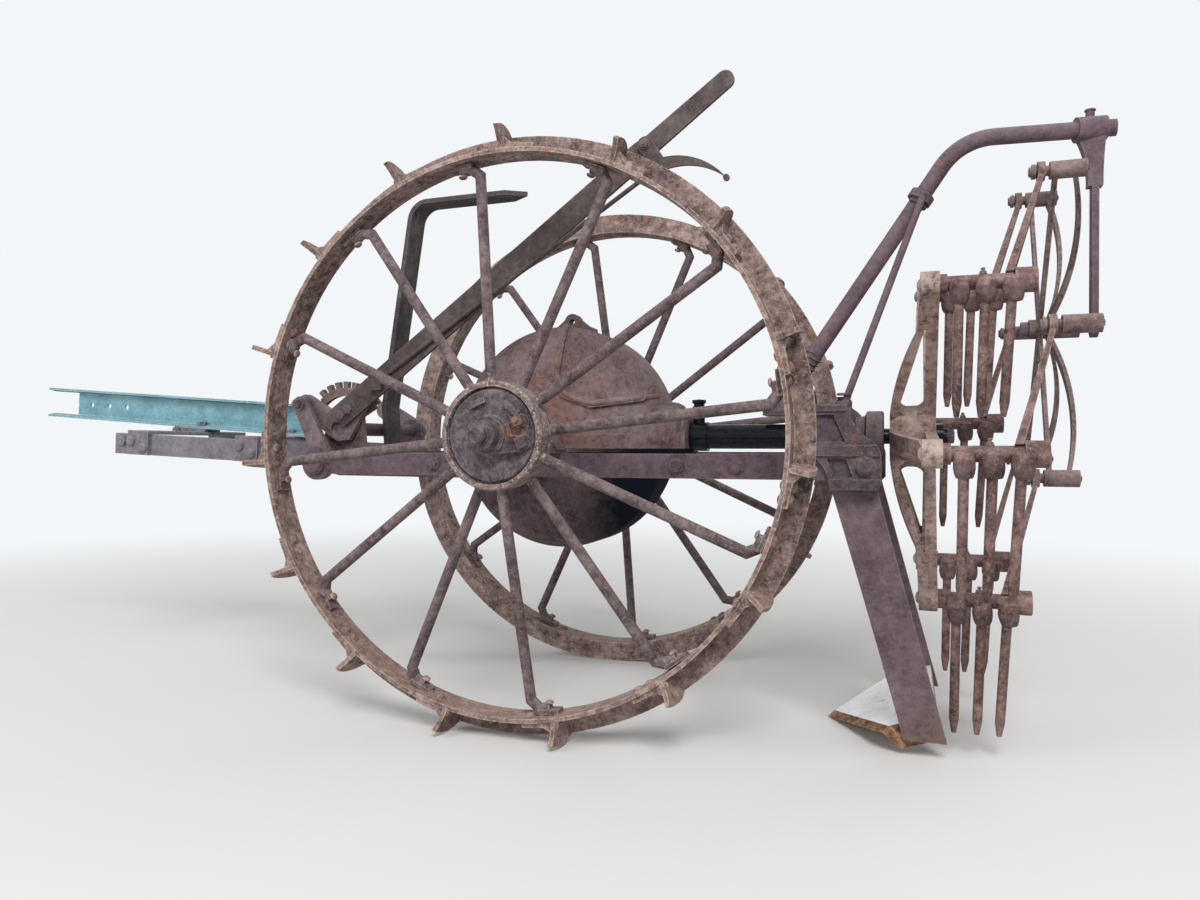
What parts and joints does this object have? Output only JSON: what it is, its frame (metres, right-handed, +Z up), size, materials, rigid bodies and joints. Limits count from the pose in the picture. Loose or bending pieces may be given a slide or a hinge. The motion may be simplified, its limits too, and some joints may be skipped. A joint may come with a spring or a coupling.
{
  "type": "potato digger",
  "caption": "Towed two-wheeled spinner potato digger with a share, a rotor of hanging tine forks, a depth lever and a drawbar.",
  "frame": {"origin": "on the floor, at the middle of the bounding box", "axes": "+X forward along the drawbar, +Y to the machine's left, +Z up"},
  "size_m": [2.5908, 0.8915, 1.235],
  "materials": {
    "tyre_rust": "rusted, dusty on the lips",
    "hub_rust": "dusty rust on the drum, rust on the spokes",
    "cover_rust": "grey purple with orange streaks",
    "casing_iron": "red brown rust",
    "oily_iron": "oily",
    "cast_brown": "brown rust",
    "share_steel": "worn bright",
    "fork_rust": "rusted, polished tips",
    "star_rust": "rusted",
    "fore_paint": "old paint, rusted",
    "beam_paint": "teal, chipped",
    "frame_rust": "rusted"
  },
  "bodies": {
    "main_frame": {"axle": "cover_rust", "gear_case_upper": "casing_iron", "gear_case_lower": "oily_iron", "side_bar_left": "frame_rust", "side_bar_right": "frame_rust", "axle_bracket_left": "cast_brown", "axle_bracket_right": "cast_brown", "lift_pin_left": "frame_rust", "lift_pin_right": "frame_rust", "shaft_tube": "oily_iron", "rear_casting": "cast_brown", "share_standard_left": "frame_rust", "share_standard_right": "frame_rust", "share": "share_steel", "pipe_arm": "frame_rust", "star_hanger": "star_rust", "pipe_brace": "frame_rust"},
    "wheel_left": {"wheel_left_tyre": "tyre_rust", "wheel_left_hub": "hub_rust", "wheel_left_cover": "cover_rust"},
    "wheel_right": {"wheel_right_tyre": "tyre_rust", "wheel_right_hub": "hub_rust", "wheel_right_cover": "cover_rust"},
    "rotor": {"rotor_shaft": "oily_iron", "spider": "star_rust"},
    "fork_1": {"fork_1": "fork_rust"},
    "fork_2": {"fork_2": "fork_rust"},
    "fork_3": {"fork_3": "fork_rust"},
    "fork_4": {"fork_4": "fork_rust"},
    "fork_5": {"fork_5": "fork_rust"},
    "fork_6": {"fork_6": "fork_rust"},
    "control_star": {"control_star": "star_rust"},
    "fore_frame": {"fore_bar_left": "fore_paint", "fore_bar_right": "fore_paint", "fore_cross_front": "fore_paint", "fore_cross_rear": "fore_paint", "drawbar_beam": "beam_paint", "quadrant": "cast_brown", "rock_bracket": "cast_brown", "seat_cross": "frame_rust", "seat_spring": "frame_rust"},
    "depth_lever": {"rock_shaft": "frame_rust", "crank_left": "cast_brown", "crank_right": "cast_brown", "depth_lever": "frame_rust", "latch_trigger": "frame_rust", "latch_rod": "frame_rust"},
    "lift_link_left": {"lift_link_left": "frame_rust"},
    "lift_link_right": {"lift_link_right": "frame_rust"}
  },
  "joints": [
    {"name": "wheel_left_spin", "type": "hinge", "parent": "main_frame", "child": "wheel_left", "pos_m": [-0.21838, 0.00577, 0.556], "axis": [0, 1, 0], "continuous": true},
    {"name": "wheel_right_spin", "type": "hinge", "parent": "main_frame", "child": "wheel_right", "pos_m": [-0.21838, 0.00577, 0.556], "axis": [0, 1, 0], "continuous": true},
    {"name": "rotor_spin", "type": "hinge", "parent": "main_frame", "child": "rotor", "pos_m": [-0.96638, 0.00577, 0.556], "axis": [1, 0, 0], "continuous": true},
    {"name": "fork_1_turn", "type": "hinge", "parent": "rotor", "child": "fork_1", "pos_m": [-1.03838, 0.32032, 0.52571], "axis": [1, 0, 0], "continuous": true},
    {"name": "fork_2_turn", "type": "hinge", "parent": "rotor", "child": "fork_2", "pos_m": [-1.03838, 0.18927, 0.81326], "axis": [1, 0, 0], "continuous": true},
    {"name": "fork_3_turn", "type": "hinge", "parent": "rotor", "child": "fork_3", "pos_m": [-1.03838, -0.12527, 0.84355], "axis": [1, 0, 0], "continuous": true},
    {"name": "fork_4_turn", "type": "hinge", "parent": "rotor", "child": "fork_4", "pos_m": [-1.03838, -0.30877, 0.58629], "axis": [1, 0, 0], "continuous": true},
    {"name": "fork_5_turn", "type": "hinge", "parent": "rotor", "child": "fork_5", "pos_m": [-1.03838, -0.17773, 0.29874], "axis": [1, 0, 0], "continuous": true},
    {"name": "fork_6_turn", "type": "hinge", "parent": "rotor", "child": "fork_6", "pos_m": [-1.03838, 0.13682, 0.26845], "axis": [1, 0, 0], "continuous": true},
    {"name": "control_star_spin", "type": "hinge", "parent": "main_frame", "child": "control_star", "pos_m": [-1.18238, -0.11423, 0.766], "axis": [1, 0, 0], "continuous": true},
    {"name": "fore_frame_swing", "type": "hinge", "parent": "main_frame", "child": "fore_frame", "pos_m": [-0.21838, 0.00577, 0.556], "axis": [0, -1, 0], "range_deg": [-2.4, 2.4]},
    {"name": "depth_lever_swing", "type": "hinge", "parent": "fore_frame", "child": "depth_lever", "pos_m": [0.25562, 0.00577, 0.574], "axis": [0, -1, 0], "range_deg": [-20, 20]},
    {"name": "lift_link_left_swing", "type": "hinge", "parent": "main_frame", "child": "lift_link_left", "pos_m": [0.28162, 0.00577, 0.5], "axis": [0, -1, 0], "range_deg": [-7.2, 7.2]},
    {"name": "lift_link_right_swing", "type": "hinge", "parent": "main_frame", "child": "lift_link_right", "pos_m": [0.28162, 0.00577, 0.5], "axis": [0, -1, 0], "range_deg": [-7.2, 7.2]}
  ],
  "couplings": [
    {"joint": "fork_1_turn", "follows": "rotor_spin", "ratio": -1},
    {"joint": "fork_2_turn", "follows": "rotor_spin", "ratio": -1},
    {"joint": "fork_3_turn", "follows": "rotor_spin", "ratio": -1},
    {"joint": "fork_4_turn", "follows": "rotor_spin", "ratio": -1},
    {"joint": "fork_5_turn", "follows": "rotor_spin", "ratio": -1},
    {"joint": "fork_6_turn", "follows": "rotor_spin", "ratio": -1},
    {"joint": "control_star_spin", "follows": "rotor_spin", "ratio": 1},
    {"joint": "fore_frame_swing", "follows": "depth_lever_swing", "ratio": -0.118},
    {"joint": "lift_link_left_swing", "follows": "depth_lever_swing", "ratio": 0.355},
    {"joint": "lift_link_right_swing", "follows": "depth_lever_swing", "ratio": 0.355}
  ]
}
